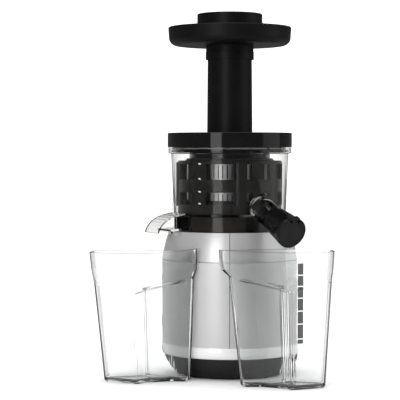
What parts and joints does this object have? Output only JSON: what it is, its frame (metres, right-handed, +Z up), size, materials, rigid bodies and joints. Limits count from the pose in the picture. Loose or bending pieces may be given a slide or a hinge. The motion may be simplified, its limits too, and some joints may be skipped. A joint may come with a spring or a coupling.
{
  "type": "cold press juicer",
  "caption": "Upright slow juicer: round brushed metal base, clear bowl with auger and strainer, black lid with feed tube and tray, capped spout and clear jugs.",
  "frame": {"origin": "the juicer's vertical axis at the table surface", "axes": "+Z up along the juicer's axis, -Y towards the viewer of the picture, +X to the viewer's right, on the side of the juice spout"},
  "size_m": [0.2775, 0.2439, 0.4285],
  "materials": {
    "charcoal_housing": "fine satin texture",
    "black_gloss": "polished",
    "black_satin": "satin",
    "bright_trim": "polished, softly reflecting",
    "brushed_sleeve": "fine brushing round the body",
    "silver_shoulder": "brushed and clear coated",
    "foot_rubber": "matt",
    "steel_fixing": "plated",
    "shaft_steel": "ground",
    "cast_bracket": "as cast",
    "lamination": "stacked sheets",
    "winding": "varnished wire",
    "capacitor_shell": "moulded",
    "circuit_board": "lacquered",
    "gear_resin": "moulded",
    "dark_resin": "moulded",
    "case_resin": "moulded",
    "switch_body": "moulded",
    "rocker_face": "satin",
    "clear_bowl": "clear moulded resin",
    "clear_jug": "clear moulded resin",
    "seal_silicone": "soft silicone",
    "strainer_resin": "satin",
    "strainer_steel": "perforated sheet",
    "blade_silicone": "soft silicone",
    "auger_resin": "satin, tough"
  },
  "bodies": {
    "base": {"base_foot": "charcoal_housing", "bottom_grille": "charcoal_housing", "rubber_feet": "foot_rubber", "grille_screws": "steel_fixing", "trim_ring": "bright_trim", "body_sleeve": "brushed_sleeve", "shoulder_cover": "silver_shoulder", "top_deck": "black_satin", "deck_screws": "steel_fixing", "deck_seal": "seal_silicone", "interlock_switch": "switch_body", "motor_bracket_lower": "cast_bracket", "motor_bracket_upper": "cast_bracket", "motor_bolts": "steel_fixing", "motor_bearings": "shaft_steel", "stator_core": "lamination", "field_coils": "winding", "run_capacitor": "capacitor_shell", "control_board": "circuit_board", "gear_case": "case_resin", "gear_cover": "case_resin", "output_bearings": "shaft_steel", "switch_frame": "black_satin", "cord_gland": "foot_rubber"},
    "rotor": {"motor_rotor": "shaft_steel", "motor_pinion": "shaft_steel", "cooling_fan": "dark_resin"},
    "layshaft": {"layshaft_gears": "gear_resin"},
    "output": {"output_gear": "gear_resin", "drive_shaft": "shaft_steel"},
    "rocker": {"power_switch": "rocker_face"},
    "bowl": {"juicing_bowl": "clear_bowl", "pulp_chute": "clear_bowl", "bowl_seal": "seal_silicone", "pulp_stopper": "seal_silicone", "gear_pins": "shaft_steel", "spout_sleeve": "black_satin", "cap_hinge_pin": "shaft_steel", "strainer_frame": "strainer_resin", "strainer_mesh": "strainer_steel"},
    "brush_cage": {"brush_frame": "strainer_resin", "wiper_blades": "blade_silicone"},
    "idler_rear": {"idler_gear_rear": "dark_resin"},
    "idler_front": {"idler_gear_front": "dark_resin"},
    "press": {"auger": "auger_resin", "auger_gear": "dark_resin", "auger_socket": "shaft_steel", "auger_pin": "shaft_steel"},
    "cover": {"lid": "black_gloss", "feed_plate": "black_gloss", "feed_tube": "black_gloss", "lid_seal": "seal_silicone"},
    "tray": {"hopper_tray": "black_gloss"},
    "plunger": {"pusher": "black_gloss"},
    "spout_cap": {"juice_cap": "black_satin", "cap_seal": "seal_silicone"},
    "juice_vessel": {"juice_jug": "clear_jug"},
    "pulp_vessel": {"pulp_jug": "clear_jug"}
  },
  "joints": [
    {"name": "switch_rock", "type": "hinge", "parent": "base", "child": "rocker", "pos_m": [0, 0.0778, 0.058], "axis": [1, 0, 0], "range_deg": [-12, 12]},
    {"name": "rotor_spin", "type": "hinge", "parent": "base", "child": "rotor", "pos_m": [0, 0, 0.058], "axis": [0, 0, 1], "continuous": true},
    {"name": "layshaft_spin", "type": "hinge", "parent": "base", "child": "layshaft", "pos_m": [0, 0.036, 0.108], "axis": [0, 0, 1], "continuous": true},
    {"name": "shaft_spin", "type": "hinge", "parent": "base", "child": "output", "pos_m": [0, 0, 0.14], "axis": [0, 0, 1], "continuous": true},
    {"name": "bowl_lift", "type": "slide", "parent": "base", "child": "bowl", "axis": [0, 0, 1], "range_m": [0, 0.07]},
    {"name": "auger_spin", "type": "hinge", "parent": "bowl", "child": "press", "pos_m": [0, 0, 0.2], "axis": [0, 0, 1], "continuous": true},
    {"name": "idler_rear_spin", "type": "hinge", "parent": "bowl", "child": "idler_rear", "pos_m": [-0.01437, 0.03081, 0.193], "axis": [0, 0, 1], "continuous": true},
    {"name": "idler_front_spin", "type": "hinge", "parent": "bowl", "child": "idler_front", "pos_m": [0.01437, -0.03081, 0.193], "axis": [0, 0, 1], "continuous": true},
    {"name": "brush_spin", "type": "hinge", "parent": "bowl", "child": "brush_cage", "pos_m": [0, 0, 0.22], "axis": [0, 0, 1], "continuous": true},
    {"name": "lid_turn", "type": "hinge", "parent": "bowl", "child": "cover", "pos_m": [0, 0, 0.27], "axis": [0, 0, 1], "range_deg": [0, 30]},
    {"name": "tray_lift", "type": "slide", "parent": "cover", "child": "tray", "axis": [0, 0, 1], "range_m": [0, 0.03]},
    {"name": "pusher_slide", "type": "slide", "parent": "tray", "child": "plunger", "axis": [0, 0, 1], "range_m": [0, 0.13]},
    {"name": "cap_flip", "type": "hinge", "parent": "bowl", "child": "spout_cap", "pos_m": [0.07179, -0.11055, 0.18726], "axis": [-0.8387, -0.5446, 0], "range_deg": [0, 100]},
    {"name": "juice_jug_slide", "type": "slide", "parent": "base", "child": "juice_vessel", "axis": [0.6, -0.8, 0], "range_m": [0, 0.15]},
    {"name": "pulp_jug_slide", "type": "slide", "parent": "base", "child": "pulp_vessel", "axis": [-0.8, -0.6, 0], "range_m": [0, 0.15]}
  ],
  "couplings": [
    {"joint": "layshaft_spin", "follows": "rotor_spin", "ratio": -0.2},
    {"joint": "shaft_spin", "follows": "rotor_spin", "ratio": 0.044444},
    {"joint": "auger_spin", "follows": "rotor_spin", "ratio": 0.044444},
    {"joint": "idler_rear_spin", "follows": "rotor_spin", "ratio": -0.063492},
    {"joint": "idler_front_spin", "follows": "rotor_spin", "ratio": -0.063492},
    {"joint": "brush_spin", "follows": "rotor_spin", "ratio": -0.018519}
  ]
}
